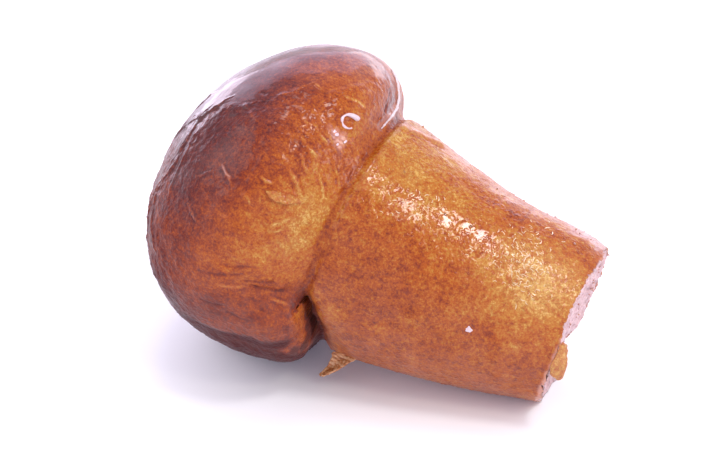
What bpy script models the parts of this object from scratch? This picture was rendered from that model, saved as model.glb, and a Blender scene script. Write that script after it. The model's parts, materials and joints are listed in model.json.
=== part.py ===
"""A syrup-soaked yeast cake: a mushroom cap over a tapered stem, lying on its side.

It is modelled upright first, with its axis along Z, the seam between cap and stem at Z = 0,
the dome above and the stem below. It is then tipped over towards +X and let down on the floor,
so that it rests on the side of its cap and on the lower side of its stem.

Directions round the axis are in degrees: 0 is the side that faces up once the cake lies down,
and 90 is the side that faces -Y, the front.
"""

import math

import bmesh
import bpy
from mathutils import Matrix, Vector, noise

# Driving sizes, in metres: the mould sets the stem, and the dough that rose out of it the cap.
STEM_LENGTH = 0.0575
STEM_TOP_RADIUS = 0.0290
STEM_END_RADIUS = 0.0196
CAP_RADIUS = 0.0394
CAP_HEIGHT = 0.0480

# How far the top of the dome leans over, which way, and how the lean grows with the height.
DOME_LEAN = 0.0048
DOME_LEAN_TOWARDS = math.radians(147)
DOME_LEAN_POWER = 1.5

# The neck's section below the cap's widest point, as (radius, height) points of three curves that
# follow each other: two handles and an end each, for the rim, for the groove and for the shoulder.
# The rim is rolled in, stretched smooth, or stands open over a deep furrow.
ROLLED_RIM_HEIGHT = 0.0160
ROLLED_NECK = (
    ((0.0394, 0.0088), (0.0366, 0.0042), (0.0322, 0.0030)),
    ((0.0302, 0.0024), (0.0286, 0.0014), (0.0282, 0.0000)),
    ((0.0281, -0.0008), (0.0286, -0.0012), (STEM_TOP_RADIUS, -0.0024)),
)
STRETCHED_RIM_HEIGHT = 0.0175
STRETCHED_NECK = (
    ((0.0392, 0.0110), (0.0346, 0.0068), (0.0316, 0.0036)),
    ((0.0302, 0.0022), (0.0292, 0.0012), (0.0285, 0.0000)),
    ((0.0283, -0.0006), (0.0288, -0.0012), (STEM_TOP_RADIUS, -0.0028)),
)
OPEN_RIM_HEIGHT = 0.0165
OPEN_NECK = (
    ((0.0394, 0.0050), (0.0384, -0.0002), (0.0322, -0.0006)),
    ((0.0300, -0.0008), (0.0262, 0.0012), (0.0248, 0.0000)),
    ((0.0242, -0.0016), (0.0284, -0.0012), (STEM_TOP_RADIUS, -0.0056)),
)

# Where round the axis the neck is stretched, stands open, and sags: start, rise, end and fall in degrees.
STRETCHED_BANDS = ((6, 24, 105, 12), (244, 24, 298, 24))
OPEN_BANDS = ((96, 9, 154, 36),)
SAGGED_BANDS = ((98, 40, 240, 50),)
SEAM_SAG = 0.0048
SEAM_SAG_REACH = 0.0120

# Broad swells and dents: degrees and height of the middle, widths in degrees and metres, and how far out.
SWELLS = (
    (-32, -0.0230, 46, 0.0170, -0.0014),
    (-24, -0.0075, 12, 0.0040, 0.0004),
    (150, -0.0290, 48, 0.0220, 0.0023),
    (-32, -0.0540, 40, 0.0090, 0.0009),
    (134, 0.0290, 26, 0.0120, -0.0011),
    (96, 0.0400, 22, 0.0090, 0.0008),
)

# Folds of the cap's skin: their (degrees, height) points, half their width, and how far they stand out.
FOLDS = (
    (((30, 0.0325), (42, 0.0386), (62, 0.0392), (84, 0.0404), (102, 0.0384), (114, 0.0325)), 0.0024, 0.0007),
    (((84, 0.0170), (91, 0.0125), (95, 0.0060), (98, 0.0010)), 0.0020, -0.0009),
    (((128, 0.0240), (122, 0.0150), (119, 0.0070), (116, -0.0010)), 0.0026, -0.0010),
)

# How uneven the skin is: sizes of swelling, as (size, height, seed), and the way the seeds move the noise.
SKIN_SWELLS = ((0.0220, 0.0009, 22.0), (0.0095, 0.0004, 9.5))
SEED_STEP = Vector((1.0, 1.7, -1.0))

# The stem's torn end: how far its edge reaches beyond the plane of the end, by direction in degrees,
# and how hollow and lumpy the crumb inside the edge is.
END_EDGE_RADIUS = 0.0010
END_REACH = (
    (-50, 0.0003),
    (-32, -0.0001),
    (7, 0.0001),
    (20, -0.0008),
    (48, -0.0012),
    (75, 0.0004),
    (106, 0.0011),
    (121, 0.0016),
    (133, 0.0002),
    (170, 0.0010),
    (200, 0.0019),
    (222, -0.0013),
    (241, 0.0006),
)
END_START = 0.0520
END_HOLLOW = 0.0016
END_LUMP = 0.0010
END_LUMP_SIZE = 0.0065
END_LUMP_SEED = 5.7
END_LUMP_AT_EDGE = 0.3

# A torn flake of crust that hangs under the neck: (X, Z) points of its outline before the cake is
# centred, its top ones inside the stem. It is a thin plate that faces the front, bowed a little.
FLAKE_OUTLINE = (
    (0.0006, 0.0080),
    (0.0001, 0.0060),
    (-0.0007, 0.0038),
    (-0.0017, 0.0019),
    (-0.0026, 0.0006),
    (-0.0014, 0.0005),
    (0.0001, 0.0018),
    (0.0025, 0.0037),
    (0.0046, 0.0054),
    (0.0066, 0.0069),
    (0.0078, 0.0082),
    (0.0088, 0.0118),
    (0.0012, 0.0132),
)
FLAKE_FRONT = -0.0180
FLAKE_THICKNESS = 0.0011
FLAKE_BOW = 0.0007

# How the cake lies: its axis is tipped with the stem's end down, and its cap is pressed on the floor.
LAID_TILT = math.radians(16.3)
CAP_PRESS = 0.0013

# How many points each stretch of the profile has, and how many steps go round.
DOME_STEPS = 15
NECK_STEPS = (8, 4, 3)
STEM_STEPS = 12
EDGE_STEPS = 2
END_STEPS = 5
TURN_STEPS = 104
TINY = 0.00001

CAKE_NAME = "rum_baba"
CRUST_COLOUR = (0.43, 0.13, 0.045, 1.0)
CRUST_ROUGHNESS = 0.35


def soft_step(value):
    """0 below 0, 1 above 1, and smooth between."""
    value = min(1.0, max(0.0, value))
    return value * value * (3 - 2 * value)


def bell(distance, width):
    """1 at no distance, falling smoothly to almost 0 at twice the width."""
    return math.exp(-((distance / width) ** 2))


def turn_of(point):
    """The direction round the axis in which a point of the upright cake lies, in degrees."""
    return math.degrees(math.atan2(-point.y, point.x))


def turn_distance(turn, other):
    """The signed distance from one direction round the axis to another, in degrees."""
    return (turn - other + 180) % 360 - 180


def band_share(turn, bands):
    """1 inside any band of directions round the axis, and 0 outside, with a soft rise and fall."""
    share = 0.0
    for start, rise, end, fall in bands:
        inside = (turn - start) % 360
        share = max(share, soft_step(inside / rise) * soft_step((end - start - inside) / fall))
    return share


def ellipse_arc(centre, radii, start, end, steps):
    """Points (radius, height) on an ellipse from start to end, in degrees, without the first."""
    points = []
    for step in range(1, steps + 1):
        angle = math.radians(start + (end - start) * step / steps)
        points.append((centre[0] + radii[0] * math.cos(angle), centre[1] + radii[1] * math.sin(angle)))
    return points


def curve(start, handle_1, handle_2, end, steps):
    """Points (radius, height) on a cubic curve, without the first."""
    points = []
    corners = (start, handle_1, handle_2, end)
    for step in range(1, steps + 1):
        t = step / steps
        shares = ((1 - t) ** 3, 3 * t * (1 - t) ** 2, 3 * t * t * (1 - t), t**3)
        points.append(tuple(sum(s * c[axis] for s, c in zip(shares, corners)) for axis in (0, 1)))
    return points


def profile(rim_height, neck):
    """(radius, height) points from the dome's top down to the middle of the stem's end."""
    points = [(0.0, CAP_HEIGHT)]
    points += ellipse_arc((0, rim_height), (CAP_RADIUS, CAP_HEIGHT - rim_height), 90, 0, DOME_STEPS)
    for (handle_1, handle_2, end), steps in zip(neck, NECK_STEPS):
        points += curve(points[-1], handle_1, handle_2, end, steps)
    top = points[-1]
    bottom = (STEM_END_RADIUS, -STEM_LENGTH + END_EDGE_RADIUS)
    for step in range(1, STEM_STEPS + 1):
        points.append(tuple(p + (q - p) * step / STEM_STEPS for p, q in zip(top, bottom)))
    edge_centre = (STEM_END_RADIUS - END_EDGE_RADIUS, bottom[1])
    points += ellipse_arc(edge_centre, (END_EDGE_RADIUS, END_EDGE_RADIUS), 0, -90, EDGE_STEPS)
    for step in range(1, END_STEPS + 1):
        points.append((edge_centre[0] * (1 - step / END_STEPS), -STEM_LENGTH))
    return points


def evaluated_mesh(source, name):
    """The mesh that an object has with its modifiers applied."""
    bpy.context.view_layer.update()
    mesh = bpy.data.meshes.new_from_object(source.evaluated_get(bpy.context.evaluated_depsgraph_get()))
    mesh.name = name
    return mesh


def turned_mesh(points, name):
    """The closed mesh that a profile makes when it is turned once round the axis."""
    line_mesh = bpy.data.meshes.new(name + "_line")
    edges = [(index, index + 1) for index in range(len(points) - 1)]
    line_mesh.from_pydata([(radius, 0, height) for radius, height in points], edges, [])
    line = bpy.data.objects.new(name + "_line", line_mesh)
    bpy.context.scene.collection.objects.link(line)
    screw = line.modifiers.new("turn", "SCREW")
    screw.axis = "Z"
    screw.steps = TURN_STEPS
    screw.render_steps = TURN_STEPS
    screw.use_merge_vertices = True
    screw.merge_threshold = TINY
    mesh = evaluated_mesh(line, name)
    bpy.data.objects.remove(line)
    return mesh


def blend_round(mesh, stretched, opened):
    """Moves a turned mesh towards two others with the same points, where their bands are."""
    for vertex, stretched_vertex, open_vertex in zip(mesh.vertices, stretched.vertices, opened.vertices):
        turn = turn_of(vertex.co)
        open_share = band_share(turn, OPEN_BANDS)
        stretched_share = band_share(turn, STRETCHED_BANDS) * (1 - open_share)
        place = vertex.co * (1 - open_share - stretched_share)
        vertex.co = place + stretched_vertex.co * stretched_share + open_vertex.co * open_share


def soft_noise(point, size, seed):
    """A smooth noise from about -1 to 1, with features of this size in metres."""
    return noise.noise(point / size + SEED_STEP * seed)


def fold_distance(turn, height, line):
    """How far a place on the cap's skin is from a line of (degrees, height) points, in metres."""
    metres = math.radians(1) * CAP_RADIUS
    place = Vector((turn * metres, height))
    nearest = CAP_RADIUS
    for (turn_1, height_1), (turn_2, height_2) in zip(line, line[1:]):
        start = Vector((turn_1 * metres, height_1))
        along = Vector((turn_2 * metres, height_2)) - start
        share = min(1.0, max(0.0, (place - start).dot(along) / along.length_squared))
        nearest = min(nearest, (start + along * share - place).length)
    return nearest


def relief(point, turn, height):
    """How far the skin stands out or in at a point of the upright cake."""
    out = sum(amount * soft_noise(point, size, seed) for size, amount, seed in SKIN_SWELLS)
    for at_turn, at_height, turn_width, height_width, amount in SWELLS:
        across = bell(turn_distance(turn, at_turn), turn_width)
        out += amount * across * bell(height - at_height, height_width)
    for line, width, amount in FOLDS:
        out += amount * bell(fold_distance(turn, height, line), width)
    return out


def end_reach(turn):
    """How far the end's edge reaches beyond the plane of the end in this direction."""
    around = sorted((turn_distance(at, turn) % 360, reach) for at, reach in END_REACH)
    ahead, behind = around[0], around[-1]
    gap = ahead[0] + (360 - behind[0])
    return ahead[1] + (behind[1] - ahead[1]) * soft_step(ahead[0] / gap)


def end_relief(point, turn, radius, height):
    """How far the torn end is pushed out: a wavy edge, and a lumpy hollow inside it."""
    share = soft_step((-height - END_START) / (STEM_LENGTH - END_EDGE_RADIUS - END_START))
    inner = max(0.0, 1 - (radius / STEM_END_RADIUS) ** 2)
    lumps = END_LUMP * soft_noise(point, END_LUMP_SIZE, END_LUMP_SEED) * (END_LUMP_AT_EDGE + inner)
    return share * (end_reach(turn) * (1 - inner) ** 2 + lumps - END_HOLLOW * inner)


def uneven(point):
    """Where the uneven real cake has a point of the even upright one."""
    turn = turn_of(point)
    radius = math.hypot(point.x, point.y)
    height = point.z
    lean = DOME_LEAN * max(0.0, height / CAP_HEIGHT) ** DOME_LEAN_POWER
    moved = point + lean * Vector((math.cos(DOME_LEAN_TOWARDS), -math.sin(DOME_LEAN_TOWARDS), 0))
    if radius > TINY:
        outward = Vector((point.x, point.y, 0)) / radius
        moved += outward * relief(point, turn, height) * min(1.0, radius / STEM_END_RADIUS)
    sag = SEAM_SAG * band_share(turn, SAGGED_BANDS) * bell(height, SEAM_SAG_REACH)
    moved.z -= end_relief(point, turn, radius, height) + sag
    return moved


def make_cake(collection):
    """The upright cake: three turned bodies blended round the axis, then made uneven."""
    mesh = turned_mesh(profile(ROLLED_RIM_HEIGHT, ROLLED_NECK), CAKE_NAME)
    stretched = turned_mesh(profile(STRETCHED_RIM_HEIGHT, STRETCHED_NECK), "stretched")
    opened = turned_mesh(profile(OPEN_RIM_HEIGHT, OPEN_NECK), "opened")
    blend_round(mesh, stretched, opened)
    bpy.data.meshes.remove(stretched)
    bpy.data.meshes.remove(opened)
    for vertex in mesh.vertices:
        vertex.co = uneven(vertex.co)
    cake = bpy.data.objects.new(CAKE_NAME, mesh)
    collection.objects.link(cake)
    return cake


def rest_on_floor(mesh):
    """Tips the cake, lets it down until its cap is pressed on the floor, and flattens what is below."""
    mesh.transform(Matrix.Rotation(-(math.pi / 2 - LAID_TILT), 4, "Y"))
    drop = min(v.co.z for v in mesh.vertices if v.co.x < 0) + CAP_PRESS
    for vertex in mesh.vertices:
        vertex.co.z = max(0.0, vertex.co.z - drop)


def flake_curve():
    """The flake's outline as a flat curve with its thickness, lying down."""
    outline = bpy.data.curves.new("flake_outline", "CURVE")
    outline.dimensions = "2D"
    outline.fill_mode = "BOTH"
    outline.extrude = FLAKE_THICKNESS / 2
    spline = outline.splines.new("POLY")
    spline.points.add(len(FLAKE_OUTLINE) - 1)
    for point, (x, z) in zip(spline.points, FLAKE_OUTLINE):
        point.co = (x, z, 0, 1)
    spline.use_cyclic_u = True
    return outline


def make_flake(collection):
    """The torn flake: its outline stood up to face the front, and bowed."""
    outline = bpy.data.objects.new("flake_outline", flake_curve())
    bpy.context.scene.collection.objects.link(outline)
    mesh = evaluated_mesh(outline, "flake")
    bpy.data.objects.remove(outline)
    welded = bmesh.new()
    welded.from_mesh(mesh)
    bmesh.ops.remove_doubles(welded, verts=welded.verts, dist=TINY)
    welded.to_mesh(mesh)
    welded.free()
    mesh.transform(Matrix.Rotation(math.pi / 2, 4, "X"))
    mesh.transform(Matrix.Translation((0, FLAKE_FRONT + FLAKE_THICKNESS / 2, 0)))
    heights = [z for x, z in FLAKE_OUTLINE]
    lowest, highest = min(heights), max(heights)
    for vertex in mesh.vertices:
        vertex.co.y -= FLAKE_BOW * math.sin(math.pi * (vertex.co.z - lowest) / (highest - lowest))
    flake = bpy.data.objects.new("flake", mesh)
    flake.hide_render = True
    flake.display_type = "WIRE"
    collection.objects.link(flake)


def fuse(cake, extras):
    """Joins the bodies of a collection to the cake as one solid, and removes them."""
    union = cake.modifiers.new("union", "BOOLEAN")
    union.operation = "UNION"
    union.solver = "EXACT"
    union.operand_type = "COLLECTION"
    union.collection = extras
    fused = evaluated_mesh(cake, CAKE_NAME)
    cake.modifiers.clear()
    cake.data = fused
    for extra in list(extras.objects):
        bpy.data.objects.remove(extra)
    bpy.data.collections.remove(extras)


def centre(mesh):
    """Moves the mesh so that the origin is under the middle of its bounding box."""
    lows = [min(v.co[axis] for v in mesh.vertices) for axis in (0, 1)]
    highs = [max(v.co[axis] for v in mesh.vertices) for axis in (0, 1)]
    shift = [-(low + high) / 2 for low, high in zip(lows, highs)]
    mesh.transform(Matrix.Translation((shift[0], shift[1], 0)))


def give_material(mesh):
    crust = bpy.data.materials.new("crust")
    crust.use_nodes = True
    surface = crust.node_tree.nodes["Principled BSDF"]
    surface.inputs["Base Color"].default_value = CRUST_COLOUR
    surface.inputs["Roughness"].default_value = CRUST_ROUGHNESS
    surface.inputs["Metallic"].default_value = 0.0
    mesh.materials.clear()
    mesh.materials.append(crust)


def clear_scene():
    for old in list(bpy.data.objects):
        bpy.data.objects.remove(old)


def new_collection(name):
    collection = bpy.data.collections.new(name)
    bpy.context.scene.collection.children.link(collection)
    return collection


def main():
    clear_scene()
    cake = make_cake(new_collection(CAKE_NAME))
    rest_on_floor(cake.data)
    flakes = new_collection("flakes")
    make_flake(flakes)
    fuse(cake, flakes)
    centre(cake.data)
    give_material(cake.data)
    cake.data.shade_smooth()


main()
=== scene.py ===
import json
import math
import random
from types import SimpleNamespace

import bpy
import numpy as np
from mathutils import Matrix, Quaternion, Vector, noise
from mathutils.bvhtree import BVHTree

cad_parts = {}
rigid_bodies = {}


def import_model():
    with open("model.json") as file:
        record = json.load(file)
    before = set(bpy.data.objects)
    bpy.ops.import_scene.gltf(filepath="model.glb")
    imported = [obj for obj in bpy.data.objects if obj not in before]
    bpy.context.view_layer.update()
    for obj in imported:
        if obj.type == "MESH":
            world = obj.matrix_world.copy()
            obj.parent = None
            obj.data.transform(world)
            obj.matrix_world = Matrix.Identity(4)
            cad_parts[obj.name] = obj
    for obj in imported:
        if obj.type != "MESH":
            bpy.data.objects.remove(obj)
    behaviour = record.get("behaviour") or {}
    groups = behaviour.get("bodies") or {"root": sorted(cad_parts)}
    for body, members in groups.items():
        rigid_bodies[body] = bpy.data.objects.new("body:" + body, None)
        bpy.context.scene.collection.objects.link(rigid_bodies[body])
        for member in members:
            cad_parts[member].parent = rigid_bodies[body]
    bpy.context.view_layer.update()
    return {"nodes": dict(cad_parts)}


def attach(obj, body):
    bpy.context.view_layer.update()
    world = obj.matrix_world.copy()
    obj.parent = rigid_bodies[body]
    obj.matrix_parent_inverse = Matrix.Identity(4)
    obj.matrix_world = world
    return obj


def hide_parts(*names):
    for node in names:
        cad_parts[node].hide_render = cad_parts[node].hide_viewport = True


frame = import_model()
cakeNode = frame["nodes"]["rum_baba"]

# the camera, in the photo's own frame
photo = {"width": 713, "height": 466}
cameraSettings = {
    "azimuth": 21.65,       # degrees, 0 looks along +Y
    "elevation": 29.5,
    "distance": 0.46,
    "lookAt": (-0.00544, 0.00077, 0.0319),
    "lens": 96.74,          # millimetres
    "sensor": 36.0,
}


def directionAt(azimuth, elevation):
    # from the cake towards this azimuth and elevation, counted as the camera's are
    azimuth = math.radians(azimuth)
    elevation = math.radians(elevation)
    flat = math.cos(elevation)
    return Vector((math.sin(azimuth) * flat, -math.cos(azimuth) * flat, math.sin(elevation)))


def cameraAxes():
    azimuth = math.radians(cameraSettings["azimuth"])
    back = directionAt(cameraSettings["azimuth"], cameraSettings["elevation"])
    right = Vector((math.cos(azimuth), math.sin(azimuth), 0))
    return right, back.cross(right), back


def turnBack(thing, back):
    # a camera or a lamp looks against this direction
    thing.rotation_mode = "QUATERNION"
    thing.rotation_quaternion = (-back).to_track_quat("-Z", "Y")


def addCamera():
    back = cameraAxes()[2]
    lens = bpy.data.cameras.new("camera")
    camera = bpy.data.objects.new("camera", lens)
    bpy.context.scene.collection.objects.link(camera)
    camera.location = Vector(cameraSettings["lookAt"]) + back * cameraSettings["distance"]
    turnBack(camera, back)
    lens.lens = cameraSettings["lens"]
    lens.sensor_width = cameraSettings["sensor"]
    lens.clip_start = 0.01
    lens.clip_end = 20
    bpy.context.scene.camera = camera


def photoRay(x, y):
    # the camera's place, and the way it looks through one pixel of the photo
    right, up, back = cameraAxes()
    focal = cameraSettings["lens"] / cameraSettings["sensor"] * photo["width"]
    eye = Vector(cameraSettings["lookAt"]) + back * cameraSettings["distance"]
    across = (x + 0.5 - photo["width"] / 2) / focal
    down = (y + 0.5 - photo["height"] / 2) / focal
    return eye, (right * across - up * down - back).normalized()


addCamera()
print("camera placed")

# how the cake lies: turn, height and radius round its own tilted axis
cakePose = {
    "seamMiddle": (-0.00564, 0.00077, 0.03409),
    "tilt": 16.3,           # degrees, the stem's end down
    "capHeight": 0.048,
    "topRadius": 0.0290,
}


def uprightPlaces(points):
    # turn in degrees (0 up, 90 to the front), height from the seam towards the dome, radius
    tilt = math.radians(cakePose["tilt"])
    moved = points - np.array(cakePose["seamMiddle"])
    upward = moved[:, 0] * math.sin(tilt) + moved[:, 2] * math.cos(tilt)
    height = -moved[:, 0] * math.cos(tilt) + moved[:, 2] * math.sin(tilt)
    return np.degrees(np.arctan2(-moved[:, 1], upward)), height, np.hypot(upward, moved[:, 1])


def axisDirection():
    # from the stem's end towards the dome
    tilt = math.radians(cakePose["tilt"])
    return np.array((-math.cos(tilt), 0, math.sin(tilt)))


def softStep(values):
    values = np.clip(values, 0, 1)
    return values * values * (3 - 2 * values)


def bell(distance, width):
    return np.exp(-((distance / width) ** 2))


def turnGap(turns, other):
    return (turns - other + 180) % 360 - 180


# small helpers for meshes
def deselectAll():
    for other in bpy.context.view_layer.objects:
        other.select_set(False)


def activate(piece):
    deselectAll()
    bpy.context.view_layer.objects.active = piece
    piece.select_set(True)


def applyModifier(piece, kind, **values):
    activate(piece)
    modifier = piece.modifiers.new(kind.lower(), kind)
    for name, value in values.items():
        setattr(modifier, name, value)
    bpy.ops.object.modifier_apply(modifier=modifier.name)


def remesh(piece, size):
    applyModifier(piece, "REMESH", mode="VOXEL", voxel_size=size, adaptivity=0.0)


def addShape(operator, **values):
    # a new piece from one of Blender's own shapes
    deselectAll()
    operator(**values)
    return bpy.context.active_object


def copyOf(piece, name):
    other = bpy.data.objects.new(name, piece.data.copy())
    bpy.context.scene.collection.objects.link(other)
    return other


def joinPieces(name, parts):
    deselectAll()
    for part in parts:
        part.select_set(True)
    bpy.context.view_layer.objects.active = parts[0]
    bpy.ops.object.join()
    piece = bpy.context.active_object
    piece.name = name
    return piece


def readPoints(mesh):
    points = np.empty(len(mesh.vertices) * 3)
    mesh.vertices.foreach_get("co", points)
    return points.reshape(-1, 3)


def readNormals(mesh):
    normals = np.empty(len(mesh.vertices) * 3, np.float32)
    mesh.vertices.foreach_get("normal", normals)
    return normals.reshape(-1, 3).astype(float)


def readFaces(mesh):
    # middle and normal of each face
    middles = np.empty(len(mesh.polygons) * 3, np.float32)
    normals = np.empty(len(mesh.polygons) * 3, np.float32)
    mesh.polygons.foreach_get("center", middles)
    mesh.polygons.foreach_get("normal", normals)
    return middles.reshape(-1, 3).astype(float), normals.reshape(-1, 3).astype(float)


def writePoints(mesh, points):
    mesh.vertices.foreach_set("co", points.ravel())
    mesh.update()


def writeMask(mesh, name, values):
    mask = mesh.attributes.get(name) or mesh.attributes.new(name, "FLOAT", "POINT")
    mask.data.foreach_set("value", np.clip(values, 0, 1).astype(np.float32))


def writeMasks(mesh, values):
    for name, value in values:
        writeMask(mesh, name, np.full(len(mesh.vertices), value))


def selectFaces(mesh, chosen):
    mesh.vertices.foreach_set("select", np.zeros(len(mesh.vertices), bool))
    mesh.edges.foreach_set("select", np.zeros(len(mesh.edges), bool))
    mesh.polygons.foreach_set("select", chosen)


def editFaces(piece, chosen, work):
    # one operator in edit mode on the chosen faces
    selectFaces(piece.data, chosen)
    activate(piece)
    bpy.ops.object.mode_set(mode="EDIT")
    bpy.ops.mesh.select_mode(type="FACE")
    work()
    bpy.ops.mesh.select_all(action="DESELECT")
    bpy.ops.object.mode_set(mode="OBJECT")


def subdivide(piece, chosen):
    editFaces(piece, chosen, lambda: bpy.ops.mesh.subdivide(number_cuts=1, ngon=False))


def noiseAt(points, size, seed, octaves=1):
    # smooth noise from about -1 to 1 at each point, with features of this size
    places = points / size + np.array((seed, seed * 1.7, -seed))
    if octaves == 1:
        return np.array([noise.noise(place) for place in places])
    return np.array([noise.fractal(place, 0.6, 2.1, octaves) for place in places])


def squeezed(points, ratio):
    # the points with the axis shortened, for patterns that are longer that way
    axis = axisDirection()
    return points + np.outer((points @ axis) * (1 / ratio - 1), axis)


def poresAt(points, size, seed, smallest, spread):
    # how deep in a pore each point lies, 0 between the pores and 1 in the middle of one
    depths = np.empty(len(points))
    for index, place in enumerate(points / size + seed):
        distances, middles = noise.voronoi(place)
        wide = smallest + spread * (abs(middles[0].x) * 7.31 % 1)
        depths[index] = max(0.0, 1 - (distances[0] / wide) ** 2)
    return depths


def rimsAt(points, size, seed):
    # low curled rims, each round one pore
    shift = np.column_stack([noiseAt(points, size * 0.7, seed + way) for way in (1.0, 2.0, 3.0)])
    rims = np.empty(len(points))
    for index, place in enumerate(points / size + 0.22 * shift + seed):
        distances, middles = noise.voronoi(place)
        radius = 0.16 + 0.30 * (abs(middles[0].x) * 7.31 % 1)
        rims[index] = math.exp(-((distances[0] - radius) / 0.12) ** 2)
    return rims


def treeOf(piece):
    mesh = piece.data
    corners = [vertex.co.copy() for vertex in mesh.vertices]
    return BVHTree.FromPolygons(corners, [tuple(face.vertices) for face in mesh.polygons])


def between(first, second, share):
    # a pixel on the way from the first to the second
    return [start + (end - start) * share for start, end in zip(first, second)]


def nearLine(points, onLine, reach):
    # whether each point lies in the box round a line
    return np.all((points > onLine.min(0) - reach) & (points < onLine.max(0) + reach), axis=1)


def seenPlace(x, y):
    # where a pixel of the photo lies on the smooth cake, and the way the skin faces there
    return smoothTree.ray_cast(*photoRay(x, y))[:2]


# the cake's smooth form, from the node, without its torn flake
smoothSettings = {
    "merge": 0.00001,
    "flakeHeights": (-0.0180, -0.0058),
    "flakeClear": 0.0006,       # how far outside the stem a point of the flake is
    "levels": 2,
}


def flakePoints(mesh):
    turns, heights, radii = uprightPlaces(readPoints(mesh))
    low, high = smoothSettings["flakeHeights"]
    outside = radii > cakePose["topRadius"] + smoothSettings["flakeClear"]
    return (heights > low) & (heights < high) & outside & (turns > 90)


def makeSmoothCake():
    piece = copyOf(cakeNode, "smoothCake")
    activate(piece)
    bpy.ops.object.mode_set(mode="EDIT")
    bpy.ops.mesh.select_mode(type="VERT")
    bpy.ops.mesh.select_all(action="SELECT")
    bpy.ops.mesh.remove_doubles(threshold=smoothSettings["merge"])
    bpy.ops.mesh.select_all(action="DESELECT")
    bpy.ops.object.mode_set(mode="OBJECT")
    piece.data.vertices.foreach_set("select", flakePoints(piece.data))
    bpy.ops.object.mode_set(mode="EDIT")
    bpy.ops.mesh.delete(type="VERT")
    bpy.ops.mesh.select_all(action="DESELECT")
    bpy.ops.mesh.select_non_manifold()
    bpy.ops.mesh.edge_face_add()
    bpy.ops.mesh.select_all(action="SELECT")
    bpy.ops.mesh.tris_convert_to_quads(face_threshold=math.radians(50), shape_threshold=math.radians(60))
    bpy.ops.object.mode_set(mode="OBJECT")
    levels = smoothSettings["levels"]
    applyModifier(piece, "SUBSURF", levels=levels, render_levels=levels)
    return piece


smoothCake = makeSmoothCake()
smoothTree = treeOf(smoothCake)
print("smooth form:", len(smoothCake.data.polygons), "faces")

# where the cap meets the stem, as far as the photo shows it, by its pixels
seamPixels = ((398, 119), (392, 127), (383, 137), (371, 151), (358, 168), (344, 190), (335, 206), (327, 222),
              (318, 239), (313, 262), (308, 278), (304, 292))


def seamShown():
    places = np.array([seenPlace(x, y)[0] for x, y in seamPixels])
    return uprightPlaces(places)[:2]


seamTurns, seamHeights = seamShown()


def shownShare(turns):
    # 1 where the photo shows the seam, 0 on the hidden side
    return softStep((turns + 36) / 16) * softStep((112 - turns) / 12)


def seamHeight(turns):
    inside = (turns - 98) % 360
    hidden = -0.0048 * softStep(inside / 40) * softStep((142 - inside) / 50)
    share = shownShare(turns)
    return np.interp(turns, seamTurns, seamHeights) * share + hidden * (1 - share)


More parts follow.
